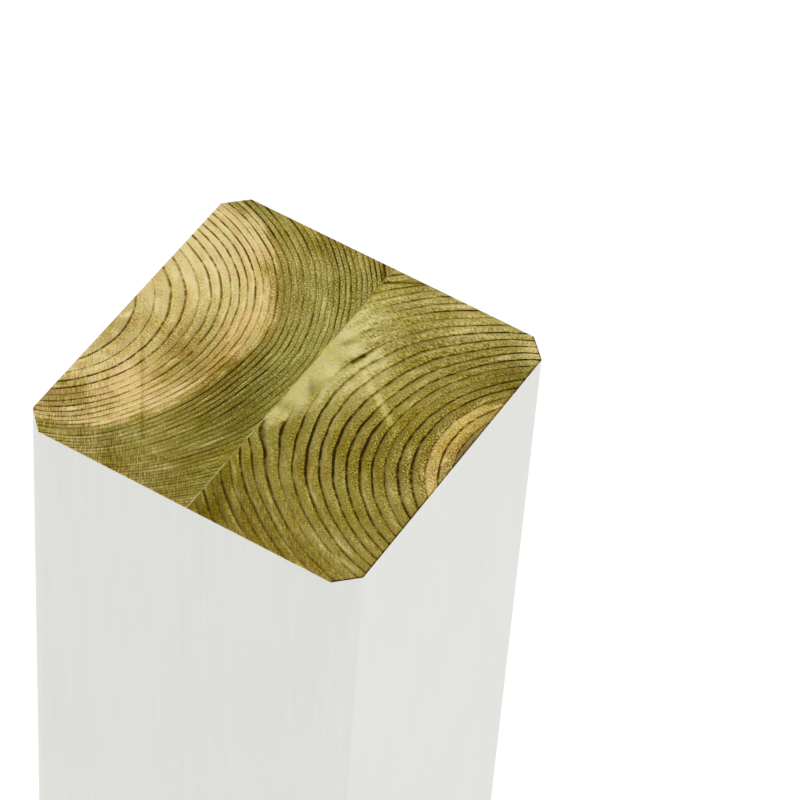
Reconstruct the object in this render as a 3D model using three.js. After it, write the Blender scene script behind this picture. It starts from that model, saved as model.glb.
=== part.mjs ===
// A laminated timber post: two planed softwood lamellas glued face to face, every long edge
// chamfered, the four long sides painted white and both ends left as bare saw cuts.
//
// Millimetres, +Z up. The origin is the centre of the foot, on the surface the post stands on.
// +X runs across the glue line, from the left lamella to the right one. +Y runs along it.
import * as THREE from "three";

// Driving dimensions
const POST_SIDE = 90; // square section, across the flats
const POST_LENGTH = 1000; // along the grain
const CHAMFER = 5.3; // leg of the 45 degree chamfer on each long edge
const ARRIS_RADIUS = 0.8; // the rounding that planing and paint leave on each chamfer's two arrises
const ARRIS_STEPS = 4; // straight steps in that rounding
const GLUE_OFFSET = 1; // the glue line lies this far right of the post's centre
const GLUE_THICKNESS = 0.3; // cured adhesive film

// Faces of the lamellas, from the driving dimensions
const HALF_SIDE = POST_SIDE / 2;
const LEFT_GLUE_FACE = GLUE_OFFSET - GLUE_THICKNESS / 2;
const RIGHT_GLUE_FACE = GLUE_OFFSET + GLUE_THICKNESS / 2;

// Finishes
const whitePaint = new THREE.MeshStandardMaterial({ color: 0xdddfda, roughness: 0.55, metalness: 0 });
const paleEndGrain = new THREE.MeshStandardMaterial({ color: 0xa8965a, roughness: 0.85, metalness: 0 });
const oliveEndGrain = new THREE.MeshStandardMaterial({ color: 0x8b7c38, roughness: 0.85, metalness: 0 });
const curedGlue = new THREE.MeshStandardMaterial({ color: 0xb5ad6b, roughness: 0.5, metalness: 0 });

/** The point at a distance from a corner, on the way to a neighbouring corner. */
function towards(corner, neighbour, distance) {
  const way = neighbour.clone().sub(corner).normalize();
  return corner.clone().addScaledVector(way, distance);
}

/** A closed outline through the corners, each one rounded off to its own radius. */
function roundedOutline(corners) {
  const shape = new THREE.Shape();
  corners.forEach(({ at, radius }, index) => {
    const before = corners.at(index - 1).at;
    const after = corners[(index + 1) % corners.length].at;
    const points = radius > 0 ? arrisArc(before, at, after, radius) : [at];
    points.forEach((point, step) => {
      if (index === 0 && step === 0) shape.moveTo(point.x, point.y);
      else shape.lineTo(point.x, point.y);
    });
  });
  shape.closePath();
  return shape;
}

/** The arc of that radius which touches both edges at a corner, as a row of points. */
function arrisArc(before, corner, after, radius) {
  const halfAngle = before.clone().sub(corner).angleTo(after.clone().sub(corner)) / 2;
  const setback = radius / Math.tan(halfAngle);
  const start = towards(corner, before, setback);
  const end = towards(corner, after, setback);
  const centre = towards(corner, start.clone().add(end).divideScalar(2), radius / Math.sin(halfAngle));
  const from = start.clone().sub(centre).angle();
  const sweep = end.clone().sub(centre).angle() - from;
  const turn = Math.atan2(Math.sin(sweep), Math.cos(sweep));
  return Array.from({ length: ARRIS_STEPS + 1 }, (_, step) => {
    const angle = from + (turn * step) / ARRIS_STEPS;
    return new THREE.Vector2(Math.cos(angle), Math.sin(angle)).multiplyScalar(radius).add(centre);
  });
}

/** Half of the chamfered square, on the right of its glue face, counter-clockwise. */
function lamellaOutline(glueFace) {
  const flat = HALF_SIDE - CHAMFER;
  const chamferCorners = [
    [flat, -HALF_SIDE],
    [HALF_SIDE, -flat],
    [HALF_SIDE, flat],
    [flat, HALF_SIDE],
  ];
  return roundedOutline([
    { at: new THREE.Vector2(glueFace, HALF_SIDE), radius: 0 },
    { at: new THREE.Vector2(glueFace, -HALF_SIDE), radius: 0 },
    ...chamferCorners.map(([x, y]) => ({ at: new THREE.Vector2(x, y), radius: ARRIS_RADIUS })),
  ]);
}

/** A section run along the grain from the foot to the top, with its ends and its sides finished apart. */
function alongTheGrain(name, section, endFinish, sideFinish) {
  const geometry = new THREE.ExtrudeGeometry(section, { depth: POST_LENGTH, steps: 1, bevelEnabled: false });
  const mesh = new THREE.Mesh(geometry, [endFinish, sideFinish]);
  mesh.name = name;
  return mesh;
}

/** The right lamella, between the glue line and the +X side. */
function rightLamella() {
  return alongTheGrain("right_lamella", lamellaOutline(RIGHT_GLUE_FACE), oliveEndGrain, whitePaint);
}

/** The left lamella, made as a right one and turned half round about the post's axis. */
function leftLamella() {
  const lamella = alongTheGrain("left_lamella", lamellaOutline(-LEFT_GLUE_FACE), paleEndGrain, whitePaint);
  lamella.rotation.z = Math.PI;
  return lamella;
}

/** The adhesive film between the lamellas, flush with the ends and with the front and back sides. */
function glueLine() {
  const film = new THREE.Mesh(new THREE.BoxGeometry(GLUE_THICKNESS, POST_SIDE, POST_LENGTH), curedGlue);
  film.position.set(GLUE_OFFSET, 0, POST_LENGTH / 2);
  film.name = "glue_line";
  return film;
}

const post = new THREE.Group();
post.name = "laminated_timber_post";
post.add(leftLamella(), glueLine(), rightLamella());

export default post;
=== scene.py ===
"""Dress the laminated timber post: two treated pine lamellas, the glue between them and white paint.

The wood is worked out as a solid: each lamella has its own growth rings, which run the whole length of
the post. The sawn ends cut across them and show them in colour and in low relief, and the painted sides
let the same rings show through as a faint grain. Lengths are metres, and names ending in _mm hold
millimetres.
"""
import logging
import math
from dataclasses import dataclass
from enum import Enum, IntEnum

import bpy
import numpy as np
from mathutils import Matrix, Vector


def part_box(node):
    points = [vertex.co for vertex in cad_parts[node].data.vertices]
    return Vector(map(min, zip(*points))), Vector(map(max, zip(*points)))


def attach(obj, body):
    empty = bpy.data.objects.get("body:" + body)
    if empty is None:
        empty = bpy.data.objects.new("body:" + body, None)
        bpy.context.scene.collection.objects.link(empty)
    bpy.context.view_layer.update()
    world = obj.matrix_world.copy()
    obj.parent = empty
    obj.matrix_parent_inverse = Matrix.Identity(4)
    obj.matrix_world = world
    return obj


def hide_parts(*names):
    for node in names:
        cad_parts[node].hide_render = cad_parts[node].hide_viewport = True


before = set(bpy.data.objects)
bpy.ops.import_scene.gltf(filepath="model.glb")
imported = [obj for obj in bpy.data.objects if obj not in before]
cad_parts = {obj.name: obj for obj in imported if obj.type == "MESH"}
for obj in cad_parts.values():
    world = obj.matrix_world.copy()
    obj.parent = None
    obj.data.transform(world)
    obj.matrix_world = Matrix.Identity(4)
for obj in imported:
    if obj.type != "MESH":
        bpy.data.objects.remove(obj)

MM = 0.001
PER_MM = (1000.0, 1000.0, 1000.0)
BODY = "root"
BAKE_MAP = "OFBake"
BAKE_MARGIN = 0.01
LOG = logging.getLogger("post")

# How a screen's colour values stand for light
SCREEN_BRIGHTEST = 255.0
SCREEN_BEND = 0.04045
SCREEN_SLOPE = 12.92
SCREEN_OFFSET = 0.055
SCREEN_POWER = 2.4
WHITE = (1.0, 1.0, 1.0, 1.0)

# The chamfer's 45 degrees
HALF_CHAMFER_TANGENT = math.tan(math.pi / 8.0)
CHAMFER_SINE = math.sqrt(0.5)

Pair = tuple[float, float]
Triple = tuple[float, float, float]
Ramp = tuple[Triple, ...]
Socket = bpy.types.NodeSocket
Feed = Socket | float | Triple


class Hand(Enum):
    """The side of the glue line that a lamella lies on, as the sign of its X."""

    LEFT = -1
    RIGHT = 1


class Face(IntEnum):
    """The finish that a face wears, as its material's place on the mesh."""

    BARE = 0
    PAINT = 1


class Strip(Enum):
    """The part of a lamella's texture map that a surface gets, as a span of its width."""

    TOP_END = (0.005, 0.495)
    FOOT = (0.505, 0.745)
    SIDES = (0.755, 0.995)


def ease(low: float, high: float, value: np.ndarray) -> np.ndarray:
    """Rise smoothly from 0 at the low value to 1 at the high one."""
    part = np.clip((value - low) / (high - low), 0.0, 1.0)
    return part * part * (3.0 - 2.0 * part)


def cells(grid: np.ndarray) -> np.ndarray:
    """Take the four corners of each cell of a grid, one row of them a cell."""
    corners = [grid[:-1, :-1], grid[:-1, 1:], grid[1:, 1:], grid[1:, :-1]]
    return np.stack(corners, axis=2).reshape(-1, 4, *grid.shape[2:])


def srgb(colour: Triple) -> Triple:
    """Turn a colour as a screen shows it into the light that the shaders reckon with.

    Args:
        colour: red, green and blue, 0 to 255.

    Returns:
        The same colour in linear light.
    """
    shown = np.array(colour) / SCREEN_BRIGHTEST
    curved = ((shown + SCREEN_OFFSET) / (1.0 + SCREEN_OFFSET)) ** SCREEN_POWER
    linear = np.where(shown <= SCREEN_BEND, shown / SCREEN_SLOPE, curved)
    return tuple(float(channel) for channel in linear)


@dataclass(frozen=True)
class Lump:
    """A soft round hump over the section, for what changes gradually from place to place."""

    centre_mm: Pair
    reach_mm: Pair
    height: float

    def at(self, x: np.ndarray, y: np.ndarray) -> np.ndarray:
        """Give the hump's height at points of the section.

        Args:
            x: across the glue line, in millimetres.
            y: along the glue line, in millimetres.

        Returns:
            The height at each point.
        """
        across = (x - self.centre_mm[0]) / self.reach_mm[0]
        along = (y - self.centre_mm[1]) / self.reach_mm[1]
        return self.height * np.exp(-(across**2 + along**2))


@dataclass(frozen=True)
class Streak:
    """A soft straight line over the section, for a ray or the mark of one saw tooth."""

    start_mm: Pair
    end_mm: Pair
    width_mm: float
    height: float

    def at(self, x: np.ndarray, y: np.ndarray) -> np.ndarray:
        """Give the line's height at points of the section.

        Args:
            x: across the glue line, in millimetres.
            y: along the glue line, in millimetres.

        Returns:
            The height at each point.
        """
        run_x = self.end_mm[0] - self.start_mm[0]
        run_y = self.end_mm[1] - self.start_mm[1]
        off_x = x - self.start_mm[0]
        off_y = y - self.start_mm[1]
        share = np.clip((off_x * run_x + off_y * run_y) / (run_x**2 + run_y**2), 0.0, 1.0)
        off = np.hypot(off_x - share * run_x, off_y - share * run_y)
        return self.height * np.exp(-((off / self.width_mm) ** 2))


@dataclass(frozen=True)
class Chart:
    """Something that changes gradually over the section: an even level with lumps and streaks on it."""

    level: float
    lumps: tuple[Lump | Streak, ...] = ()

    def at(self, x: np.ndarray, y: np.ndarray, share: np.ndarray) -> np.ndarray:
        """Read the chart at points in millimetres, where there is that share of its lumps."""
        return self.level + share * sum((lump.at(x, y) for lump in self.lumps), np.zeros_like(x))


@dataclass(frozen=True)
class Ripple:
    """A gentle wave that runs over the section and slowly along the stem."""

    height_mm: float
    length_mm: float
    heading_deg: float
    phase: float
    stem_length_mm: float

    def at(self, x: np.ndarray, y: np.ndarray, below: np.ndarray) -> np.ndarray:
        """Give the wave's height in millimetres.

        Args:
            x: across the glue line, in millimetres.
            y: along the glue line, in millimetres.
            below: distance under the top end, in millimetres.

        Returns:
            The height at each point.
        """
        heading = math.radians(self.heading_deg)
        along = x * math.cos(heading) + y * math.sin(heading)
        turns = along / self.length_mm + below / self.stem_length_mm + self.phase
        return self.height_mm * np.sin(2.0 * math.pi * turns)


RIPPLES = (
    Ripple(height_mm=0.05, length_mm=17.0, heading_deg=20.0, phase=0.1, stem_length_mm=310.0),
    Ripple(height_mm=0.035, length_mm=9.0, heading_deg=105.0, phase=0.6, stem_length_mm=170.0),
    Ripple(height_mm=0.02, length_mm=5.0, heading_deg=65.0, phase=0.3, stem_length_mm=95.0),
)


@dataclass(frozen=True)
class Grain:
    """What the wood is like at a set of points."""

    ring: np.ndarray
    spacing_mm: np.ndarray
    radius_mm: np.ndarray
    turn_mm: np.ndarray


@dataclass(frozen=True)
class GrowthRings:
    """The growth rings of one lamella, as off-centre circles about a pith outside the board.

    The circles' centre slides along a straight line as they grow, as in a stem that leans. The rings get
    closer together outwards, and swellings push them out or in by a little.
    """

    pith_mm: Pair
    slide: float
    slide_heading_deg: float
    facing_deg: float
    first_radius_mm: float
    rings_per_mm: float
    tightening: float
    swellings: Chart
    crook_mm: Pair
    crook_length_mm: float = 640.0
    fewest_rings_per_mm: float = 0.15
    middle_radius_mm: float = 45.0

    def read(self, x: np.ndarray, y: np.ndarray, below: np.ndarray) -> Grain:
        """Find the ring that each point lies in.

        Args:
            x: across the glue line, in millimetres.
            y: along the glue line, in millimetres.
            below: distance under the top end, in millimetres.

        Returns:
            Ring number, distance from ring to ring, radius and distance round the middle ring.
        """
        sway = np.sin(2.0 * math.pi * below / self.crook_length_mm)
        off_x = x - self.pith_mm[0] - self.crook_mm[0] * sway
        off_y = y - self.pith_mm[1] - self.crook_mm[1] * sway
        heading = math.radians(self.slide_heading_deg)
        ahead = off_x * math.cos(heading) + off_y * math.sin(heading)
        rest = 1.0 - self.slide**2
        root = np.sqrt((self.slide * ahead) ** 2 + rest * (off_x**2 + off_y**2))
        circle = (root - self.slide * ahead) / rest
        from_x = off_x - self.slide * circle * math.cos(heading)
        from_y = off_y - self.slide * circle * math.sin(heading)
        facing = math.radians(self.facing_deg)
        turn_x = from_x * math.cos(facing) + from_y * math.sin(facing)
        turn_y = from_y * math.cos(facing) - from_x * math.sin(facing)
        radius = circle - self.swellings.at(x, y, np.ones_like(x))
        radius = radius + sum(ripple.at(x, y, below) for ripple in RIPPLES)
        out = radius - self.first_radius_mm
        density = self.rings_per_mm + self.tightening * out
        return Grain(
            ring=self.rings_per_mm * out + 0.5 * self.tightening * out**2,
            spacing_mm=1.0 / np.maximum(density, self.fewest_rings_per_mm),
            radius_mm=radius,
            turn_mm=self.middle_radius_mm * np.arctan2(turn_y, turn_x),
        )


@dataclass(frozen=True)
class Timber:
    """The wood of one lamella: its rings, its heartwood and how its sawn end has coloured.

    The tone is how much lighter or darker than the rest the wood is, and the line depth how much darker
    its late wood is, in parts of the brightest that a screen shows. Dots, comb and sawn are how strongly
    pores, rows of pores and saw marks show. Blush is how reddish the wood is, greenish below nought, rich
    is how pure its colour is, rust is how rusty the heartwood's lines are, and clear is where the end is
    smooth and pale and the rings don't show. Their lumps belong to the top end and fade below it.
    """

    rings: GrowthRings
    heart_radius_mm: Chart
    tone: Chart
    line_depth: Chart
    dots: Chart
    comb: Chart
    sawn: Chart
    blush: Chart
    rich: Chart
    rust: Chart
    clear: Chart
    fading_mm: float = 160.0

    def fields(self, points_mm: np.ndarray, length_mm: float) -> dict[str, np.ndarray]:
        """Work out what the shaders and the relief need to know at each point.

        Args:
            points_mm: one row of X, Y and Z a point, in millimetres.
            length_mm: the post's length.

        Returns:
            A value or a vector for each point, by name.
        """
        x, y, z = points_mm.T
        below = length_mm - z
        grain = self.rings.read(x, y, below)
        share = np.exp(-((below / self.fading_mm) ** 2))
        marks = [np.maximum(chart.at(x, y, share), 0.0) for chart in (self.dots, self.comb, self.sawn)]
        return {
            "ring": grain.ring,
            "ring_spacing": grain.spacing_mm,
            "heart": self.heart_radius_mm.at(x, y, share) - grain.radius_mm,
            "tone": self.tone.at(x, y, share),
            "line_depth": np.maximum(self.line_depth.at(x, y, share), 0.0),
            "marks": np.stack(marks, axis=1),
            "blush": self.blush.at(x, y, share),
            "rich": self.rich.at(x, y, share),
            "rust": self.rust.at(x, y, share),
            "clear": self.clear.at(x, y, share),
            "grain": np.stack([grain.turn_mm, grain.radius_mm, z], axis=1),
        }


# Lumps are given as centre, reach and height, streaks as start, end, width and height
LEFT_TIMBER = Timber(
    rings=GrowthRings(
        pith_mm=(-70.8, -17.1),
        slide=0.467,
        slide_heading_deg=44.9,
        facing_deg=0.0,
        first_radius_mm=22.09,
        rings_per_mm=0.3143,
        tightening=0.02276,
        swellings=Chart(0.0, (
            Lump((-30, 17), (14.6, 19.1), 1.2),
            Lump((-14.7, -24.7), (13.1, 13.5), -1.69),
            Lump((-6.9, -7.3), (12.1, 12.8), -1.64),
            Lump((-39.2, -40.3), (14, 7.9), 1.46),
            Lump((-10.4, 38.9), (12.7, 11.2), 0.37),
        )),
        crook_mm=(3.0, 5.0),
    ),
    heart_radius_mm=Chart(43.0, (
        Lump((-32, 38), (15, 11), 3.4),
        Lump((-14, 12), (7, 10), 1.8),
        Lump((-44, -40), (13, 9), -3.0),
    )),
    tone=Chart(0.0, (
        Lump((-7, -14), (10, 20), -0.10),
        Lump((-4, 12), (6, 10), 0.05),
        Lump((-15, 41), (6, 4), -0.05),
        Lump((-43, -41), (9, 5), -0.08),
        Lump((-42, -33), (9, 6), -0.20),
        Lump((-40, 27), (6, 5), 0.03),
        Lump((-18, 11), (4, 4), 0.05),
        Lump((-36, -43), (6, 4), 0.12),
        Lump((-35, -28), (8, 6), -0.04),
        Lump((-12, -42), (7, 4), -0.04),
        Lump((-4, 41), (5, 5), 0.05),
        Lump((-27, 42), (7, 4), 0.05),
        Lump((-26, 8), (5, 7), -0.04),
        Lump((-13, 11), (5, 5), 0.05),
        Lump((-29, -21), (5, 4), 0.09),
        Lump((-30, -11), (6, 4), 0.06),
        Lump((-27, -5), (9, 10), -0.24),
        Lump((-35, -7), (4, 5), 0.09),
        Lump((-43, -8), (7, 8), -0.15),
        Lump((-25, -17), (4, 5), -0.09),
        Lump((-19, -9), (4, 6), -0.08),
        Lump((-15, 4), (3, 6), -0.10),
        Lump((-20, 19), (4, 4), -0.03),
        Lump((-19, -30), (8, 12), 0.05),
        Lump((-20, 35), (7, 5), 0.06),
        Lump((-43, 7), (5, 7), -0.035),
        Lump((-42, -26), (5, 8), -0.035),
        Lump((-26, -38), (4, 7), -0.035),
        Lump((-4, -12), (4, 6), -0.035),
        Streak((-10, 27.4), (0, 21.9), 2.0, 0.08),
        Streak((-36.6, -7), (-19, -33), 0.45, -0.12),
        Streak((-2, 45), (0.8, 40.2), 0.45, -0.32),
    )),
    line_depth=Chart(0.20, (
        Lump((-36, 33), (13, 13), 0.16),
        Lump((-41, -22), (9, 17), 0.28),
        Lump((-28, -22), (7, 6), -0.10),
        Lump((-9, -8), (6, 12), 0.10),
        Lump((-12, -42), (30, 10), -0.12),
        Lump((-14, 30), (9, 16), -0.13),
        Lump((-3, 40), (5, 5), 0.18),
        Lump((-17, 43), (7, 4), 0.10),
        Lump((-26, 27), (4, 6), 0.10),
        Streak((-16.6, 44.8), (-9.7, 37.3), 0.8, 0.50),
        Streak((-8.7, 36), (-4.7, 29.5), 0.8, 0.50),
        Streak((-4, 28.3), (-0.6, 21.1), 0.8, 0.50),
    )),
    dots=Chart(0.6, (
        Lump((-10, 32), (16, 14), 1.1),
        Lump((-36, 16), (16, 15), -0.3),
        Lump((-31, 0), (10, 10), 0.8),
        Lump((-20, -36), (26, 12), -0.3),
        Lump((-5, 0), (7, 18), 0.4),
    )),
    comb=Chart(0.2),
    sawn=Chart(0.0, (
        Lump((-41, -28), (12, 18), 1.0),
        Lump((-16, -40), (20, 12), 0.7),
        Lump((-18, -44), (20, 6), 0.6),
    )),
    blush=Chart(0.0, (
        Lump((-29, -22), (10, 8), 1.0),
        Lump((-17, 7), (5, 14), 1.2),
        Lump((-26, -3), (4, 8), -0.8),
        Lump((-3, 6), (6, 22), -1.0),
        Lump((-15, -45), (40, 8), 0.5),
    )),
    rich=Chart(1.0, (
        Lump((-20, -40), (30, 8), -0.04),
        Lump((-5, -8), (5, 18), -0.03),
        Lump((-35, 2), (6, 10), 0.03),
        Lump((-43, 41), (5, 5), -0.04),
        Lump((-35, 31), (5, 9), -0.03),
        Lump((-22, 31), (5, 9), 0.04),
    )),
    rust=Chart(0.15, (Lump((-27, 27), (8, 13), 0.8),)),
    clear=Chart(0.0),
)

RIGHT_TIMBER = Timber(
    rings=GrowthRings(
        pith_mm=(82.0, 11.9),
        slide=0.664,
        slide_heading_deg=194.6,
        facing_deg=180.0,
        first_radius_mm=25.51,
        rings_per_mm=0.519,
        tightening=0.003,
        swellings=Chart(0.0, (
            Lump((-3.3, -1.3), (7.9, 18.4), 0.65),
            Lump((33, 30.5), (10.5, 13.6), -1.71),
            Lump((7.5, -26.5), (11.5, 10.2), 0.83),
            Lump((23.3, 12.3), (9.7, 16.5), -1.74),
            Lump((1.5, -15.5), (5.2, 6.2), 1.6),
        )),
        crook_mm=(4.0, -6.0),
    ),
    heart_radius_mm=Chart(27.4, (Lump((45, 24.5), (5, 4), -1.2),)),
    tone=Chart(0.0, (
        Lump((4, -42), (14, 12), -0.12),
        Lump((23, -42), (8, 4), -0.03),
        Lump((36, -38), (8, 8), 0.04),
        Lump((43, 32), (8, 8), -0.11),
        Lump((4, -30), (4, 6), -0.04),
        Lump((43, 40), (4, 4), 0.22),
        Lump((26, 42), (20, 8), 0.12),
        Lump((27, -6), (9, 11), -0.08),
        Lump((12, 10), (5, 12), 0.15),
        Lump((18.5, 11), (6, 6), 0.11),
        Lump((5, 30), (8, 8), 0.15),
        Lump((3.5, -10), (3, 4), 0.09),
        Lump((11, -19), (5, 4), -0.08),
        Lump((13, 18), (5, 4), 0.06),
        Lump((4, 42), (4, 4), 0.085),
        Lump((43, 25), (4, 4), 0.05),
        Lump((43, -4), (4, 4), -0.04),
        Lump((11, 42), (4, 4), -0.03),
        Lump((35, 8), (3.5, 6), -0.04),
        Lump((34, -43), (12, 4), -0.03),
        Lump((41, 4), (3.5, 14), -0.09),
        Lump((45.5, 6), (3, 12), -0.32),
        Lump((43, 19), (4, 4), -0.09),
        Lump((42, -11), (4, 4), 0.08),
        Lump((10, 34), (6, 9), -0.04),
        Lump((35, -11), (4, 4), -0.04),
        Lump((5.6, 2.4), (1.6, 2.6), -0.15),
        Lump((4, -7), (3, 2.2), -0.10),
        Streak((4.2, 17.8), (5.6, 20.2), 0.9, -0.18),
        Streak((3.6, 3.6), (6.2, 0.2), 0.6, -0.10),
        Streak((13, 12.2), (27, 1.9), 0.9, 0.13),
        Streak((19.6, 8.2), (25.6, 3.4), 0.8, 0.10),
        Streak((8.7, 13.9), (9.7, 16.9), 0.7, -0.40),
        Streak((9.7, 16.9), (10.6, 19.4), 0.5, -0.25),
        Streak((5.2, -11), (6.6, -14), 0.5, -0.22),
        Streak((2.3, -15), (4, -17.4), 0.5, -0.18),
        Streak((1.5, 39.7), (9.2, 44.8), 0.45, -0.32),
    )),
    line_depth=Chart(0.20, (
        Lump((17, -11), (14, 11), 0.30),
        Lump((5, -18), (8, 6), 0.14),
        Lump((8, -30), (10, 7), -0.05),
        Lump((9, 30), (8, 6), -0.22),
        Lump((32, 42), (13, 7), 0.20),
        Lump((43, 40), (5, 5), 0.40),
        Lump((42, 26), (4, 4), 0.08),
        Lump((43, 5), (6, 11), 0.20),
        Lump((22, -43), (30, 8), -0.11),
    )),
    dots=Chart(0.7, (
        Lump((22, -38), (26, 14), -0.55),
        Lump((34, -6), (14, 14), 0.7),
        Lump((41, 6), (6, 12), 1.2),
    )),
    comb=Chart(0.3, (Lump((24, 29), (28, 16), 0.8),)),
    sawn=Chart(0.0, (Lump((24, -38), (28, 14), 0.7),)),
    blush=Chart(0.1, (
        Lump((44, 2), (10, 16), 1.0),
        Lump((46, 4), (2.2, 9), -1.0),
        Lump((41, 14), (4, 7), 0.5),
        Lump((38, -6), (3, 5), -0.5),
        Lump((25, -45), (40, 10), 0.6),
        Lump((3, 12), (6, 18), -0.9),
    )),
    rich=Chart(1.0, (
        Lump((28, 4), (7, 20), 0.045),
        Lump((45, 4), (3, 12), -0.14),
        Lump((20, -42), (40, 7), -0.02),
        Lump((3, 34), (5, 5), 0.05),
    )),
    rust=Chart(0.3),
    clear=Chart(0.0, (
        Lump((1, 10), (9, 18), 1.2),
        Lump((2.5, -9.5), (4.5, 5), 0.45),
    )),
)


@dataclass(frozen=True)
class Cloud:
    """A cloudy pattern: how many of its blobs fit in one unit along each axis, and how fine it goes."""

    per_unit: Triple
    detail: float = 2.0
    roughness: float = 0.5


class Bench:
    """A material's node tree, with short calls for the nodes that the finishes are made of."""

    def __init__(self, name: str) -> None:
        """Start an empty material with one surface shader.

        Args:
            name: the material's name.
        """
        self.material = bpy.data.materials.new(name)
        self.material.use_nodes = True
        self.tree = self.material.node_tree
        self.shader = self.tree.nodes["Principled BSDF"]

    def link(self, value: Feed, socket: Socket) -> None:
        """Feed a socket from another one, or set it to a plain value.

        Args:
            value: an output socket, a number, a vector or a colour.
            socket: the input to feed.
        """
        if isinstance(value, bpy.types.NodeSocket):
            self.tree.links.new(value, socket)
        elif isinstance(value, tuple) and socket.type == "RGBA":
            socket.default_value = (*value, 1.0)
        else:
            socket.default_value = value

    def node(self, kind: str, feeds: dict[str | int, Feed], **settings: str) -> bpy.types.Node:
        """Add a node.

        Args:
            kind: the node's type, without the words that all of them start with.
            feeds: what goes into its sockets, by their names or places.
            settings: its settings, by name.

        Returns:
            The node.
        """
        node = self.tree.nodes.new("ShaderNode" + kind)
        for name, setting in settings.items():
            setattr(node, name, setting)
        for socket, value in feeds.items():
            self.link(value, node.inputs[socket])
        return node

    def sum_of(self, operation: str, *values: Feed) -> Socket:
        """Work out one sum of values with a Math node."""
        return self.node("Math", dict(enumerate(values)), operation=operation).outputs["Value"]

    def add(self, base: Socket, value: Socket, amount: float) -> Socket:
        """Add some amount of a value to a base."""
        return self.sum_of("MULTIPLY_ADD", value, amount, base)

    def times(self, *values: Feed) -> Socket:
        """Multiply two or more values.

        Args:
            values: what is multiplied.

        Returns:
            The product.
        """
        product = values[0]
        for value in values[1:]:
            product = self.sum_of("MULTIPLY", product, value)
        return product

    def span(self, value: Socket, low: float, high: float, to_low: float, to_high: float) -> Socket:
        """Carry a value smoothly from one span to another and hold it at the ends."""
        feeds = dict(enumerate((value, low, high, to_low, to_high)))
        return self.node("MapRange", feeds, interpolation_type="SMOOTHSTEP").outputs["Result"]

    def read(self, name: str, output: str = "Fac") -> Socket:
        """Read what the mesh carries, from the output Fac for a number and Vector for a vector."""
        return self.node("Attribute", {}, attribute_name=name).outputs[output]

    def split(self, vector: Socket) -> tuple[Socket, ...]:
        """Take a vector's X, Y and Z."""
        return tuple(self.node("SeparateXYZ", {"Vector": vector}).outputs)

    def join(self, x: Socket, y: Socket) -> Socket:
        """Make a flat vector of two values."""
        return self.node("CombineXYZ", {"X": x, "Y": y}).outputs["Vector"]

    def place(self) -> Socket:
        """Give the point's place on the post, in millimetres."""
        return self.stretch(self.node("TexCoord", {}).outputs["Object"], PER_MM)

    def stretch(self, vector: Socket, scale: Triple) -> Socket:
        """Scale a vector's three parts, each by its own factor."""
        return self.node("VectorMath", {0: vector, 1: scale}, operation="MULTIPLY").outputs["Vector"]

    def turned(self, vector: Socket, degrees: float) -> Socket:
        """Turn a vector about the post's axis, counter-clockwise from above."""
        feeds = {"Vector": vector, "Angle": math.radians(degrees)}
        return self.node("VectorRotate", feeds, rotation_type="Z_AXIS").outputs["Vector"]

    def noise(self, vector: Socket, cloud: Cloud) -> Socket:
        """Give a cloudy value with an average of nought.

        Args:
            vector: where to look it up.
            cloud: the pattern.

        Returns:
            A value of about -0.5 to 0.5.
        """
        place = self.stretch(vector, cloud.per_unit)
        feeds = {"Vector": place, "Scale": 1.0, "Detail": cloud.detail, "Roughness": cloud.roughness}
        return self.sum_of("SUBTRACT", self.node("TexNoise", feeds).outputs["Fac"], 0.5)

    def chance(self, value: Socket) -> Socket:
        """Give a random number from 0 to 1 that only depends on a value."""
        return self.node("TexWhiteNoise", {"W": value}, noise_dimensions="1D").outputs["Value"]

    def ramp(self, value: Socket, stops: Ramp) -> Socket:
        """Look a value up on a ramp of colours, each placed by how bright its red is on a screen.

        Args:
            value: the place on the ramp.
            stops: the colours, as a screen shows them, 0 to 255.

        Returns:
            The colour.
        """
        node = self.node("ValToRGB", {"Fac": value})
        elements = node.color_ramp.elements
        while len(elements) < len(stops):
            elements.new(0.5)
        for element, stop in zip(elements, stops):
            element.position = stop[0] / SCREEN_BRIGHTEST
            element.color = (*srgb(stop), 1.0)
        return node.outputs["Color"]

    def blend(self, share: Socket, first: Feed, second: Feed) -> Socket:
        """Mix two colours, with so much of the second."""
        feeds = {"Factor": share, "A": first, "B": second}
        return self.node("Mix", feeds, data_type="RGBA").outputs["Result"]

    def tint(self, colour: Socket, hue: Socket, richness: Socket) -> Socket:
        """Shift a colour's hue, greener above 0.5, and its richness, purer above 1."""
        feeds = {"Color": colour, "Hue": hue, "Saturation": richness}
        return self.node("HueSaturation", feeds).outputs["Color"]

    def relief(self, height: Socket, depth: float) -> None:
        """Give the surface a fine relief, where a height of 1 stands for the depth in metres."""
        node = self.node("Bump", {"Distance": depth, "Strength": 1.0, "Height": height})
        self.link(node.outputs["Normal"], self.shader.inputs["Normal"])

    def surface(self, colour: Socket, roughness: Socket, specular: float) -> None:
        """Give the shader its colour and its shine.

        Args:
            colour: the colour.
            roughness: how rough it is, 0 to 1.
            specular: how much it mirrors, 0 to 1.
        """
        self.link(colour, self.shader.inputs["Base Color"])
        self.link(roughness, self.shader.inputs["Roughness"])
        self.shader.inputs["Specular IOR Level"].default_value = specular


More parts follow.
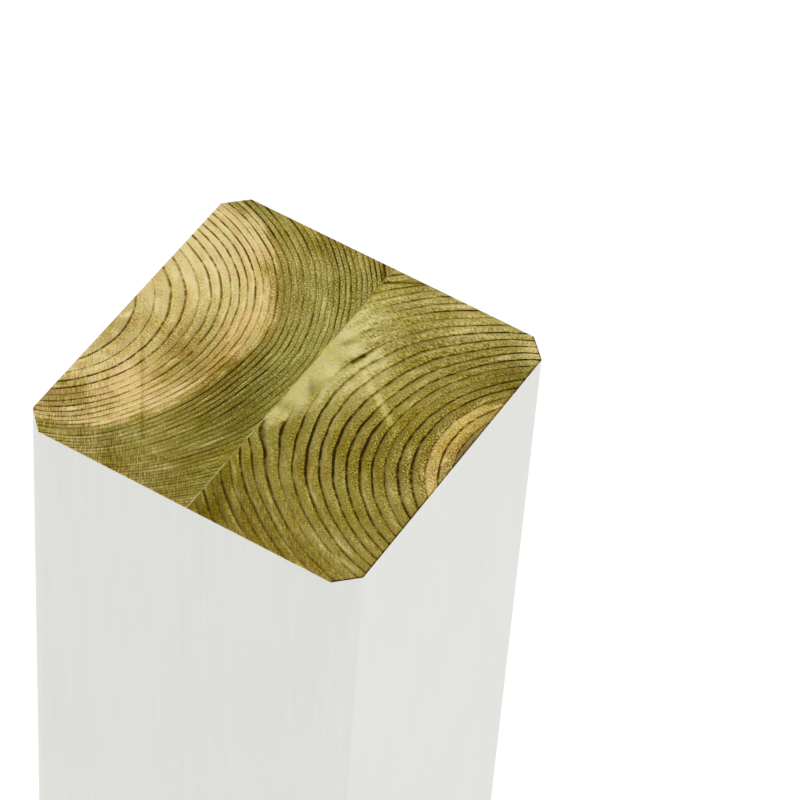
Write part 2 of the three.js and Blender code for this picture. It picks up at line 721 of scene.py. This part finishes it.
# The wood's colours from its darkest line to its palest early wood, as a screen shows them
GREEN_SAP = (
    (45, 36, 2), (92, 82, 14), (124, 115, 44), (142, 133, 62),
    (160, 151, 82), (182, 173, 105), (200, 190, 125), (216, 207, 145),
)
BROWN_SAP = (
    (45, 28, 0), (92, 72, 6), (124, 105, 33), (142, 123, 51),
    (160, 141, 72), (182, 163, 95), (200, 182, 118), (216, 200, 138),
)
TAN_HEART = (
    (70, 46, 2), (119, 97, 26), (150, 128, 60), (172, 149, 83),
    (190, 168, 104), (205, 184, 122), (216, 196, 136), (230, 211, 155),
)
PINK_BLUSH = (
    (72, 44, 4), (119, 91, 22), (150, 122, 48), (170, 142, 68),
    (190, 162, 95), (205, 177, 114), (216, 188, 127), (230, 203, 145),
)
GOLDEN_BLUSH = (
    (72, 46, 2), (119, 94, 14), (150, 123, 40), (170, 142, 58),
    (190, 161, 80), (205, 175, 97), (216, 187, 112), (230, 203, 132),
)


@dataclass(frozen=True)
class EndGrainFinish:
    """Bare sawn end grain of treated pine: olive sapwood, tan heartwood and dark late wood lines.

    Amounts named after light are parts of the brightest that a screen shows. Phases are parts of the way
    from one ring's edge to the next. A pair holds what something goes from and to. Clouds are measured in
    millimetres of the section, and in millimetres round and out where they follow the rings.
    """

    name: str
    sap_light: float = 0.574
    heart_light: float = 0.856
    clear_light: float = 0.19
    band_light: float = 0.20
    streak_light: float = 0.12
    cloud_light: float = 0.16
    mark_light: float = 0.19
    glint_light: float = 0.14
    saw_light: float = 0.22
    stroke_light: float = 0.70
    early_richness: float = 1.07
    late_richness: float = 0.98
    richness_phases: Pair = (0.3, 0.8)
    cloud_richness: float = -0.20
    sap_hue: float = 0.062
    pale_hue: float = 0.095
    line_inner_mm: float = 0.36
    line_outer_mm: float = 0.18
    line_widths: Pair = (0.75, 1.25)
    line_strengths: Pair = (0.75, 1.6)
    narrow_rings_mm: Pair = (0.8, 1.8)
    narrow_width: float = 0.7
    bead_span: Pair = (-0.14, 0.08)
    bead_strengths: Pair = (0.45, 1.22)
    pore_phases: Pair = (0.35, 0.75)
    late_pores: float = 0.45
    speckle_span: float = 0.24
    glint_span: Pair = (0.06, 0.20)
    glint_start_phases: Pair = (0.04, 0.16)
    glint_end_phases: Pair = (0.45, 0.8)
    streak_span: Pair = (0.05, 0.25)
    clear_bands: float = 0.7
    clear_clouds: float = 0.8
    clear_grit: float = 0.08
    clear_span: Pair = (0.2, 0.9)
    clear_pores: float = 0.4
    heart_edge_mm: float = 2.4
    heart_wander_mm: float = 3.0
    heart_grit: float = 0.3
    blush_reach_mm: float = 6.0
    rim_blush: float = 0.8
    rust_span: Pair = (-0.02, 0.10)
    saw_heading_deg: float = -57.0
    glint_heading_deg: float = 33.0
    relief_m: float = 0.00008
    pore_relief: float = 0.4
    roughness: Pair = (0.95, 0.75)
    specular: float = 0.08
    bands: Cloud = Cloud((0.10, 1.3, 0.0))
    clouds: Cloud = Cloud((0.13, 0.13, 0.02), detail=3.0)
    dots: Cloud = Cloud((2.3, 2.3, 0.4), detail=2.0, roughness=0.8)
    glints: Cloud = Cloud((2.1, 2.1, 0.3), detail=1.0)
    comb: Cloud = Cloud((2.7, 1.4, 0.0), detail=1.0)
    strokes: Cloud = Cloud((0.4, 4.6, 0.0), detail=1.0)
    saw_bands: Cloud = Cloud((0.01, 0.30, 0.0), detail=2.0)
    stains: Cloud = Cloud((0.4, 0.4, 0.0237), detail=3.0, roughness=0.65)
    beads: Cloud = Cloud((0.35, 0.5, 0.0), detail=3.0)
    rust_spots: Cloud = Cloud((0.07, 0.30, 0.0))
    gold: Triple = (210, 186, 88)
    gilding: float = 0.4
    rust: Triple = (112, 44, 26)
    blush_colours: Ramp = PINK_BLUSH

    def ring_lines(self, bench: Bench) -> Socket:
        """Draw the late wood: a line that darkens outwards and stops short at the ring's edge.

        Args:
            bench: the material being made.

        Returns:
            How strongly the line shows, about 0 to 2.
        """
        ring = bench.read("ring")
        spacing = bench.read("ring_spacing")
        phase = bench.sum_of("FRACT", ring)
        own = bench.chance(bench.sum_of("ROUND", ring))
        narrow = bench.span(spacing, *self.narrow_rings_mm, self.narrow_width, 1.0)
        wide = bench.times(bench.span(own, 0.0, 1.0, *self.line_widths), narrow)
        inside = bench.times(bench.sum_of("SUBTRACT", 1.0, phase), spacing)
        outside = bench.times(phase, spacing)
        inner = bench.span(bench.sum_of("DIVIDE", inside, wide), 0.0, self.line_inner_mm, 1.0, 0.0)
        outer = bench.span(bench.sum_of("DIVIDE", outside, wide), 0.0, self.line_outer_mm, 1.0, 0.0)
        strong = bench.span(own, 0.0, 1.0, *self.line_strengths)
        beads = bench.noise(bench.read("grain", "Vector"), self.beads)
        beads = bench.span(beads, *self.bead_span, *self.bead_strengths)
        return bench.times(bench.sum_of("MAXIMUM", inner, outer), strong, beads)

    def pores(self, bench: Bench) -> tuple[Socket, Socket]:
        """Speckle the wood with pores: dots, rows of them across the rings, and glints of gold.

        Args:
            bench: the material being made.

        Returns:
            How light or dark the speckle is, -1 to 1, and how much of the gold there is.
        """
        dots, comb, _ = bench.split(bench.read("marks", "Vector"))
        phase = bench.sum_of("FRACT", bench.read("ring"))
        early_wood = bench.span(phase, *self.pore_phases, 1.0, self.late_pores)
        rows = bench.times(comb, bench.noise(bench.read("grain", "Vector"), self.comb), early_wood)
        spots = bench.times(dots, bench.noise(bench.place(), self.dots), early_wood)
        speckle = bench.sum_of("ADD", rows, spots)
        speckle = bench.span(speckle, -self.speckle_span, self.speckle_span, -1.0, 1.0)
        scattered = bench.noise(bench.turned(bench.place(), self.glint_heading_deg), self.glints)
        glints = bench.times(bench.span(scattered, *self.glint_span, 0.0, 1.0), dots)
        past_line = bench.span(phase, *self.glint_start_phases, 0.0, 1.0)
        before_line = bench.span(phase, *self.glint_end_phases, 1.0, 0.0)
        return speckle, bench.times(glints, past_line, before_line)

    def saw_marks(self, bench: Bench) -> Socket:
        """Draw the saw's marks: fine strokes on broader bands, straight across both lamellas.

        Args:
            bench: the material being made.

        Returns:
            How much lighter or darker they make the wood.
        """
        sawn = bench.split(bench.read("marks", "Vector"))[2]
        place = bench.turned(bench.place(), -self.saw_heading_deg)
        strokes = bench.times(bench.noise(place, self.strokes), self.stroke_light)
        marks = bench.add(strokes, bench.noise(place, self.saw_bands), self.saw_light)
        return bench.times(marks, sawn)

    def material(self) -> bpy.types.Material:
        """Make the material.

        Returns:
            The material.
        """
        bench = Bench(self.name)
        ring = bench.read("ring")
        place = bench.place()
        turn = bench.split(bench.read("grain", "Vector"))[0]
        bands = bench.noise(bench.join(turn, ring), self.bands)
        clouds = bench.noise(place, self.clouds)
        pores, glints = self.pores(bench)

        # Where the heartwood and the clear patch are, and what shows outside the patch
        edge = bench.add(bench.read("heart"), bench.sum_of("ADD", bands, clouds), self.heart_wander_mm)
        edge = bench.add(edge, pores, self.heart_grit * self.heart_edge_mm)
        heart = bench.span(edge, -self.heart_edge_mm, self.heart_edge_mm, 0.0, 1.0)
        patch = bench.add(bench.read("clear"), bands, self.clear_bands)
        patch = bench.add(patch, clouds, self.clear_clouds)
        patch = bench.add(patch, pores, self.clear_grit)
        clear = bench.span(patch, *self.clear_span, 0.0, 1.0)
        ringed = bench.sum_of("SUBTRACT", 1.0, clear)
        open_pores = bench.span(ringed, 0.0, 1.0, self.clear_pores, 1.0)
        speckle = bench.times(pores, open_pores)
        glints = bench.times(glints, open_pores)
        lines = bench.times(self.ring_lines(bench), ringed)

        # How light the wood is
        light = bench.span(heart, 0.0, 1.0, self.sap_light, self.heart_light)
        light = bench.sum_of("ADD", light, bench.read("tone"))
        light = bench.add(light, clear, self.clear_light)
        light = bench.add(light, clouds, self.cloud_light)
        light = bench.add(light, bench.times(bands, ringed), self.band_light)
        streaks = bench.span(bands, *self.streak_span, 0.0, 1.0)
        light = bench.add(light, bench.times(streaks, ringed), self.streak_light)
        light = bench.sum_of("ADD", light, self.saw_marks(bench))
        light = bench.add(light, speckle, self.mark_light)
        light = bench.add(light, glints, self.glint_light)
        light = bench.sum_of("SUBTRACT", light, bench.times(lines, bench.read("line_depth")))

        # What colour it has at that light
        rim = bench.span(bench.read("heart"), 0.0, self.blush_reach_mm, self.rim_blush, 0.0)
        reddish = bench.read("blush")
        blush = bench.sum_of("MAXIMUM", rim, reddish)
        tan = bench.blend(blush, bench.ramp(light, TAN_HEART), bench.ramp(light, self.blush_colours))
        rusty = bench.noise(bench.read("grain", "Vector"), self.rust_spots)
        rusty = bench.span(rusty, *self.rust_span, 0.0, 1.0)
        tan = bench.blend(bench.times(rusty, lines, bench.read("rust")), tan, srgb(self.rust))
        brown = bench.span(reddish, -1.0, 1.0, 0.0, 1.0)
        olive = bench.blend(brown, bench.ramp(light, GREEN_SAP), bench.ramp(light, BROWN_SAP))
        rich = bench.sum_of("FRACT", ring)
        rich = bench.span(rich, *self.richness_phases, self.early_richness, self.late_richness)
        rich = bench.add(bench.times(rich, bench.read("rich")), clouds, self.cloud_richness)
        stained = bench.sum_of("MAXIMUM", heart, clear)
        stained = bench.span(stained, 0.0, 1.0, self.sap_hue, self.pale_hue)
        stains = bench.times(bench.noise(place, self.stains), stained)
        wood = bench.tint(bench.blend(heart, olive, tan), bench.sum_of("ADD", stains, 0.5), rich)
        wood = bench.blend(bench.times(glints, self.gilding), wood, srgb(self.gold))

        bench.surface(wood, bench.span(speckle, -1.0, 1.0, *self.roughness), self.specular)
        bench.relief(bench.add(lines, speckle, self.pore_relief), self.relief_m)
        return bench.material


@dataclass(frozen=True)
class PaintFinish:
    """Matt white paint, thin enough for the long grain to show through as faint streaks."""

    name: str = "white_paint"
    colour: Triple = (222, 223, 218)
    contrast: float = 3.2
    cloud_share: float = 0.5
    light_span: Pair = (-0.5, 0.5)
    rough_span: Pair = (-0.4, 0.4)
    roughness: Pair = (0.5, 0.62)
    specular: float = 0.3
    relief_m: float = 0.00001
    streaks: Cloud = Cloud((1.0, 1.0, 0.0237), detail=3.0, roughness=0.6)
    clouds: Cloud = Cloud((0.06, 0.06, 0.02))
    stipple: Cloud = Cloud((1.4, 1.4, 0.5))

    def material(self) -> bpy.types.Material:
        """Make the material.

        Returns:
            The material.
        """
        bench = Bench(self.name)
        place = bench.place()
        streaks = bench.noise(place, self.streaks)
        light = bench.add(streaks, bench.noise(place, self.clouds), self.cloud_share)
        share = bench.span(light, *self.light_span, 0.0, 1.0)
        low = srgb(tuple(channel - self.contrast for channel in self.colour))
        high = srgb(tuple(channel + self.contrast for channel in self.colour))
        rough = bench.span(streaks, *self.rough_span, *self.roughness)
        bench.surface(bench.blend(share, low, high), rough, self.specular)
        bench.relief(bench.sum_of("ADD", streaks, bench.noise(place, self.stipple)), self.relief_m)
        return bench.material


@dataclass(frozen=True)
class GlueFinish:
    """Cured adhesive: pale green where it is thick, yellow to the colour of wood where it is thin."""

    name: str = "cured_glue"
    pale: Triple = (178, 172, 110)
    yellow: Triple = (196, 174, 86)
    olive: Triple = (140, 128, 58)
    yellowing_mm: Pair = (-20.0, 0.0)
    thinning_mm: Pair = (16.0, 30.0)
    wander_mm: float = 20.0
    gap_span: Pair = (-0.06, 0.12)
    gap_share: float = 0.9
    rough_span: Pair = (-0.3, 0.3)
    roughness: Pair = (0.55, 0.75)
    specular: float = 0.1
    relief_m: float = 0.00004
    patches: Cloud = Cloud((0.2, 0.2, 0.05), detail=3.0)
    gaps: Cloud = Cloud((0.37, 0.37, 0.0237), detail=3.0, roughness=0.6)

    def material(self) -> bpy.types.Material:
        """Make the material.

        Returns:
            The material.
        """
        bench = Bench(self.name)
        place = bench.place()
        patches = bench.noise(place, self.patches)
        spot = bench.add(bench.split(place)[1], patches, self.wander_mm)
        yellowed = bench.span(spot, *self.yellowing_mm, 0.0, 1.0)
        colour = bench.blend(yellowed, srgb(self.pale), srgb(self.yellow))
        thinned = bench.span(spot, *self.thinning_mm, 0.0, 1.0)
        gaps = bench.span(bench.noise(place, self.gaps), *self.gap_span, self.gap_share, 0.0)
        colour = bench.blend(bench.sum_of("MAXIMUM", thinned, gaps), colour, srgb(self.olive))
        bench.surface(colour, bench.span(patches, *self.rough_span, *self.roughness), self.specular)
        bench.relief(patches, self.relief_m)
        return bench.material


@dataclass(frozen=True)
class Outline:
    """The post's chamfered square section with its rounded arrises, in millimetres."""

    half_mm: float
    chamfer_mm: float = 5.3
    arris_mm: float = 0.8
    arris_rows: int = 4
    row_decimals: int = 4

    def corner_mm(self) -> float:
        """Give how far from a corner a side starts to be flat."""
        return self.chamfer_mm + self.arris_mm * HALF_CHAMFER_TANGENT

    def setback(self, depth: np.ndarray) -> np.ndarray:
        """Find how far the outline lies inside the flat of one side, near a corner.

        Args:
            depth: distance in from the neighbouring side.

        Returns:
            The distance in from the flat.
        """
        start = self.arris_mm * (1.0 - CHAMFER_SINE)
        end = self.chamfer_mm - self.arris_mm * (CHAMFER_SINE - HALF_CHAMFER_TANGENT)
        near = self.corner_mm()
        first = near - np.sqrt(np.maximum(self.arris_mm**2 - (self.arris_mm - depth) ** 2, 0.0))
        last = self.arris_mm - np.sqrt(np.maximum(self.arris_mm**2 - (near - depth) ** 2, 0.0))
        flat = np.where(depth < near, last, 0.0)
        return np.where(depth < start, first, np.where(depth < end, self.chamfer_mm - depth, flat))

    def rows(self, step_mm: float) -> np.ndarray:
        """Space rows across the section, with a few more where the arrises are.

        Args:
            step_mm: distance between rows on the flat.

        Returns:
            The rows' places, from one side to the other.
        """
        even = np.linspace(0.0, self.half_mm, int(round(self.half_mm / step_mm)) + 1)
        angles = np.linspace(0.0, math.pi / 4.0, self.arris_rows)
        arris = self.arris_mm * (1.0 - np.cos(angles))
        far = self.corner_mm() - self.arris_mm * np.sin(angles)
        depths = np.unique(np.round(np.concatenate([even, arris, far]), self.row_decimals))
        upper = self.half_mm - depths
        return np.unique(np.concatenate([-upper, upper]))


@dataclass(frozen=True)
class Skin:
    """The faces of a mesh: their corners, the finish each one wears and their places on the map."""

    corners: np.ndarray
    finish: np.ndarray
    places: np.ndarray


@dataclass
class Lamella:
    """One board of the post: a closed mesh with both ends as fine grids and its sides between them."""

    name: str
    node: str
    hand: Hand
    timber: Timber
    end_finish: EndGrainFinish
    glue_face_mm: float
    length_mm: float
    outline: Outline
    step_mm: float = 0.4
    side_levels: int = 44
    rim_mm: float = 0.18
    ring_relief_mm: float = 0.07
    relief_rings_mm: Pair = (1.0, 2.0)
    paint_relief_mm: float = 0.012
    dark_rim: float = -0.40
    dark_rim_facing: float = 0.3
    dark_rim_spread: float = 0.5
    pale_rim: float = 0.20
    pale_rim_facing: float = -0.9
    sharp_deg: float = 30.0

    def grid(self, inset_mm: float) -> tuple[np.ndarray, np.ndarray]:
        """Lay a grid over the section, from the outer side to the glue face.

        Args:
            inset_mm: how far the grid stays inside the outline.

        Returns:
            X and Y of the grid's points, in millimetres.
        """
        rows = self.outline.rows(self.step_mm)
        half = self.outline.half_mm
        depth = half - np.abs(rows)
        outer = self.hand.value * (half - inset_mm - self.outline.setback(depth))
        columns = int(round(abs(half * self.hand.value - self.glue_face_mm) / self.step_mm)) + 1
        share = np.linspace(0.0, 1.0, columns)
        x = outer[:, None] + (self.glue_face_mm - outer)[:, None] * share[None, :]
        y = np.repeat((rows * (half - inset_mm) / half)[:, None], columns, axis=1)
        return x, y

    def loop(self, grid: np.ndarray) -> np.ndarray:
        """Take the values round the edge of a grid, once round from its first corner."""
        return np.concatenate([grid[0, :-1], grid[:-1, -1], grid[-1, :0:-1], grid[:0:-1, 0]])

    def points(self) -> np.ndarray:
        """Place the mesh's points: the top end, the bottom end, then the sides from the top down.

        Returns:
            One row of X, Y and Z a point, in millimetres.
        """
        cap_x, cap_y = self.grid(self.rim_mm)
        side_x, side_y = (self.loop(part) for part in self.grid(0.0))
        levels = np.linspace(self.length_mm - self.rim_mm, self.rim_mm, self.side_levels)
        ends = [
            np.stack([cap_x.ravel(), cap_y.ravel(), np.full(cap_x.size, height)], axis=1)
            for height in (self.length_mm, 0.0)
        ]
        sides = [np.stack([side_x, side_y, np.full(side_x.size, height)], axis=1) for height in levels]
        return np.concatenate(ends + sides)

    def skin(self, shape: tuple[int, int]) -> Skin:
        """Join the points up into four-sided faces that look outwards.

        Args:
            shape: rows and columns of an end's grid.

        Returns:
            The faces.
        """
        top = np.arange(math.prod(shape)).reshape(shape)
        edge = self.loop(top)
        rings = 2 * top.size + np.arange(self.side_levels * edge.size).reshape(self.side_levels, -1)
        wall = np.vstack([edge, rings, edge + top.size])
        wall = np.hstack([wall, wall[:, :1]])
        finish = np.full((self.side_levels + 1, edge.size), Face.PAINT)
        finish[[0, -1]] = Face.BARE
        bare = np.full(2 * (shape[0] - 1) * (shape[1] - 1), Face.BARE)
        corners = [cells(top), cells(top + top.size)[:, ::-1], cells(wall)[:, ::-1]]
        places = [
            self.map_places(shape, Strip.TOP_END),
            self.map_places(shape, Strip.FOOT)[:, ::-1],
            self.map_places(wall.shape, Strip.SIDES)[:, ::-1],
        ]
        turn = -self.hand.value
        return Skin(
            corners=np.concatenate(corners)[:, ::turn],
            finish=np.concatenate([bare, finish.ravel()]),
            places=np.concatenate(places)[:, ::turn],
        )

    def map_places(self, shape: tuple[int, int], strip: Strip) -> np.ndarray:
        """Lay the cells of a grid out evenly on their strip of the texture map.

        Args:
            shape: rows and columns of the grid.
            strip: the strip.

        Returns:
            Four places on the map a cell.
        """
        across = np.linspace(*strip.value, shape[1])
        up = np.linspace(BAKE_MARGIN, 1.0 - BAKE_MARGIN, shape[0])
        return cells(np.stack(np.meshgrid(across, up), axis=-1))

    def relief(self, fields: dict[str, np.ndarray]) -> np.ndarray:
        """Work out how far the late wood stands above the early wood.

        Args:
            fields: what the timber is like at each point.

        Returns:
            A height of 0 to 1 at each point.
        """
        phase = fields["ring"] % 1.0
        wide = ease(*self.relief_rings_mm, fields["ring_spacing"])
        ringed = 1.0 - np.clip(fields["clear"], 0.0, 1.0)
        return wide * (0.5 - 0.5 * np.cos(2.0 * math.pi * phase**2)) * ringed

    def outwards(self, sides: np.ndarray) -> np.ndarray:
        """Find the way out of the board at the points round its sides.

        Args:
            sides: the sides' points, a row of them for each level.

        Returns:
            X and Y of a unit vector at each point.
        """
        run = np.roll(sides, -1, axis=1) - np.roll(sides, 1, axis=1)
        out = np.stack([run[..., 1], -run[..., 0]], axis=-1) * -self.hand.value
        return out / np.linalg.norm(out, axis=-1, keepdims=True)

    def shape(self, points: np.ndarray, fields: dict[str, np.ndarray], cap: int) -> np.ndarray:
        """Raise the late wood on the ends and let it show through the paint on the sides.

        Args:
            points: the smooth points, in millimetres.
            fields: what the timber is like at each point.
            cap: how many points an end has.

        Returns:
            The shaped points, in millimetres.
        """
        shaped = points.copy()
        height = self.relief(fields)
        sunk = self.ring_relief_mm * (1.0 - height)
        shaped[:cap, 2] -= sunk[:cap]
        shaped[cap : 2 * cap, 2] += sunk[cap : 2 * cap]
        sides = points[2 * cap :].reshape(self.side_levels, -1, 3)
        glued = np.isclose(sides[..., 0], self.glue_face_mm)
        lift = self.paint_relief_mm * (height[2 * cap :].reshape(glued.shape) - 1.0)
        lift = np.where(glued, 0.0, lift)
        shaped[2 * cap :, :2] += (self.outwards(sides) * lift[..., None]).reshape(-1, 2)
        return shaped

    def tone_rim(self, points: np.ndarray, tone: np.ndarray, shape: tuple[int, int]) -> None:
        """Darken the top end's rim on the right and lighten it at the front.

        Args:
            points: the smooth points, in millimetres.
            tone: how light the timber is at each point, which is changed.
            shape: rows and columns of an end's grid.
        """
        cap = math.prod(shape)
        sides = points[2 * cap :].reshape(self.side_levels, -1, 3)
        out = self.outwards(sides[:1])[0]
        pale = np.where(out[:, 1] < self.pale_rim_facing, self.pale_rim, 0.0)
        rim = np.where(out[:, 0] > self.dark_rim_facing, self.dark_rim, pale)
        rim = np.where(np.isclose(sides[0, :, 0], self.glue_face_mm), 0.0, rim)
        tone[2 * cap : 2 * cap + len(rim)] += rim
        edge = self.loop(np.arange(cap).reshape(shape))
        tone[edge] += self.dark_rim_spread * np.minimum(rim, 0.0)

    def build(self, paint: bpy.types.Material) -> bpy.types.Object:
        """Make the board and dress it.

        Args:
            paint: the finish of its sides.

        Returns:
            The finished piece.
        """
        shape = self.grid(0.0)[0].shape
        smooth = self.points()
        fields = self.timber.fields(smooth, self.length_mm)
        shaped = self.shape(smooth, fields, math.prod(shape))
        self.tone_rim(smooth, fields["tone"], shape)
        skin = self.skin(shape)
        mesh = bpy.data.meshes.new(self.name)
        mesh.from_pydata((shaped * MM).tolist(), [], skin.corners.tolist())
        mesh.polygons.foreach_set("material_index", skin.finish.astype(np.int32))
        mesh.shade_smooth()
        for name, values in fields.items():
            kind, slot = ("FLOAT_VECTOR", "vector") if values.ndim == 2 else ("FLOAT", "value")
            layer = mesh.attributes.new(name, kind, "POINT")
            layer.data.foreach_set(slot, values.astype(np.float32).ravel())
        bake_map = mesh.uv_layers.new(name=BAKE_MAP)
        bake_map.data.foreach_set("uv", skin.places.astype(np.float32).ravel())
        mesh.materials.append(self.end_finish.material())
        mesh.materials.append(paint)
        mesh.set_sharp_from_angle(angle=math.radians(self.sharp_deg))
        mesh.update()
        piece = bpy.data.objects.new(self.name, mesh)
        bpy.context.collection.objects.link(piece)
        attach(piece, BODY)
        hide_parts(self.node)
        return piece


@dataclass
class GlueFilm:
    """The adhesive between the boards, bare at the ends and painted over at the sides."""

    name: str
    node: str
    low_mm: np.ndarray
    high_mm: np.ndarray
    finish: GlueFinish
    end_sunk_mm: float = 0.03
    side_sunk_mm: float = 0.012
    steps: int = 180

    def build(self, paint: bpy.types.Material) -> bpy.types.Object:
        """Make the film and dress it.

        Args:
            paint: the finish of the sides.

        Returns:
            The finished piece.
        """
        sunk = np.array([0.0, self.side_sunk_mm, self.end_sunk_mm])
        low = self.low_mm + sunk
        high = self.high_mm - sunk
        along = np.linspace(low[1], high[1], self.steps + 1)
        ring = [(low[0], low[2]), (high[0], low[2]), (high[0], high[2]), (low[0], high[2])]
        points = [(x * MM, y * MM, z * MM) for y in along for x, z in ring]
        turn = len(ring)
        last = turn * self.steps
        faces = [tuple(range(turn))]
        for base in range(0, last, turn):
            for side in range(turn):
                after = (side + 1) % turn
                faces.append((base + after, base + side, base + side + turn, base + after + turn))
        faces.append(tuple(last + corner for corner in reversed(range(turn))))
        mesh = bpy.data.meshes.new(self.name)
        mesh.from_pydata(points, [], faces)
        mesh.materials.append(self.finish.material())
        mesh.materials.append(paint)
        mesh.polygons[0].material_index = Face.PAINT
        mesh.polygons[-1].material_index = Face.PAINT
        mesh.update()
        piece = bpy.data.objects.new(self.name, mesh)
        bpy.context.collection.objects.link(piece)
        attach(piece, BODY)
        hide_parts(self.node)
        return piece


@dataclass(frozen=True)
class Viewpoint:
    """Where the camera stands: the photograph's own view of the post's top end."""

    aim: Triple = (0.02405, 0.01004, 1.0)
    azimuth_deg: float = 28.21
    elevation_deg: float = 48.5
    roll_deg: float = 4.54
    distance: float = 1.0086
    lens_mm: float = 195.3
    sensor_mm: float = 36.0
    clip_start: float = 0.01

    def build(self) -> bpy.types.Object:
        """Set the camera up.

        Returns:
            The camera.
        """
        azimuth = math.radians(self.azimuth_deg)
        elevation = math.radians(self.elevation_deg)
        level = math.cos(elevation)
        back = Vector((math.sin(azimuth) * level, -math.cos(azimuth) * level, math.sin(elevation)))
        data = bpy.data.cameras.new("camera")
        data.lens = self.lens_mm
        data.sensor_width = self.sensor_mm
        data.clip_start = self.clip_start
        camera = bpy.data.objects.new("camera", data)
        bpy.context.collection.objects.link(camera)
        turn = back.to_track_quat("Z", "Y").to_matrix().to_4x4()
        roll = Matrix.Rotation(math.radians(self.roll_deg), 4, "Z")
        camera.matrix_world = Matrix.Translation(Vector(self.aim) + self.distance * back) @ turn @ roll
        bpy.context.scene.camera = camera
        return camera


@dataclass(frozen=True)
class Studio:
    """A plain white floor under an even white sky, with one broad soft light."""

    floor_side: float = 12.0
    floor_drop: float = 0.0005
    floor_colour: tuple[float, ...] = (0.9, 0.9, 0.9, 1.0)
    floor_roughness: float = 0.9
    floor_glow: float = 0.15
    sky: float = 0.95
    lamp_watts: float = 10.0
    lamp_side: float = 2.0
    lamp_place: Triple = (2.2, 2.0, 3.4)
    lamp_aim: Triple = (0.0, 0.0, 0.9)

    def floor(self) -> bpy.types.Object:
        """Lay the floor.

        Returns:
            The floor.
        """
        bench = Bench("white_floor")
        bench.shader.inputs["Base Color"].default_value = self.floor_colour
        bench.shader.inputs["Roughness"].default_value = self.floor_roughness
        bench.shader.inputs["Emission Color"].default_value = WHITE
        bench.shader.inputs["Emission Strength"].default_value = self.floor_glow
        half = self.floor_side / 2.0
        mesh = bpy.data.meshes.new("floor")
        corners = [(-half, -half), (half, -half), (half, half), (-half, half)]
        mesh.from_pydata([(x, y, -self.floor_drop) for x, y in corners], [], [(0, 1, 2, 3)])
        mesh.materials.append(bench.material)
        floor = bpy.data.objects.new("floor", mesh)
        bpy.context.collection.objects.link(floor)
        return floor

    def light(self) -> None:
        """Light the room evenly, with a broad lamp from behind on the right."""
        world = bpy.data.worlds.new("sky")
        world.use_nodes = True
        background = world.node_tree.nodes["Background"]
        background.inputs["Color"].default_value = WHITE
        background.inputs["Strength"].default_value = self.sky
        bpy.context.scene.world = world
        data = bpy.data.lights.new("lamp", "AREA")
        data.energy = self.lamp_watts
        data.size = self.lamp_side
        lamp = bpy.data.objects.new("lamp", data)
        bpy.context.collection.objects.link(lamp)
        lamp.location = self.lamp_place
        lamp.rotation_euler = (Vector(self.lamp_aim) - lamp.location).to_track_quat("-Z", "Y").to_euler()
        bpy.context.scene.view_settings.view_transform = "Standard"


def box_mm(node: str) -> tuple[np.ndarray, np.ndarray]:
    """Find a solid's lowest and highest corners in millimetres."""
    low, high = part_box(node)
    return np.array(low) / MM, np.array(high) / MM


def main() -> None:
    """Set the camera up, then build the post's pieces and the studio, in that order."""
    logging.basicConfig(level=logging.INFO, format="%(name)s: %(message)s")
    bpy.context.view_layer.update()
    Viewpoint().build()
    paint = PaintFinish().material()
    left_high = box_mm("left_lamella")[1]
    right_low, right_high = box_mm("right_lamella")
    outline = Outline(half_mm=float(right_high[0]))
    parts = [
        Lamella(
            name="left_board",
            node="left_lamella",
            hand=Hand.LEFT,
            timber=LEFT_TIMBER,
            end_finish=EndGrainFinish(name="left_end_grain"),
            glue_face_mm=float(left_high[0]),
            length_mm=float(left_high[2]),
            outline=outline,
        ),
        Lamella(
            name="right_board",
            node="right_lamella",
            hand=Hand.RIGHT,
            timber=RIGHT_TIMBER,
            end_finish=EndGrainFinish(
                name="right_end_grain",
                heart_edge_mm=0.9,
                heart_wander_mm=1.5,
                blush_colours=GOLDEN_BLUSH,
            ),
            glue_face_mm=float(right_low[0]),
            length_mm=float(right_high[2]),
            outline=outline,
        ),
        GlueFilm("glue_film", "glue_line", *box_mm("glue_line"), GlueFinish()),
    ]
    for part in parts:
        piece = part.build(paint)
        LOG.info("%s: %d faces", piece.name, len(piece.data.polygons))
    studio = Studio()
    LOG.info("%s laid", studio.floor().name)
    studio.light()


if __name__ == "__main__":
    main()
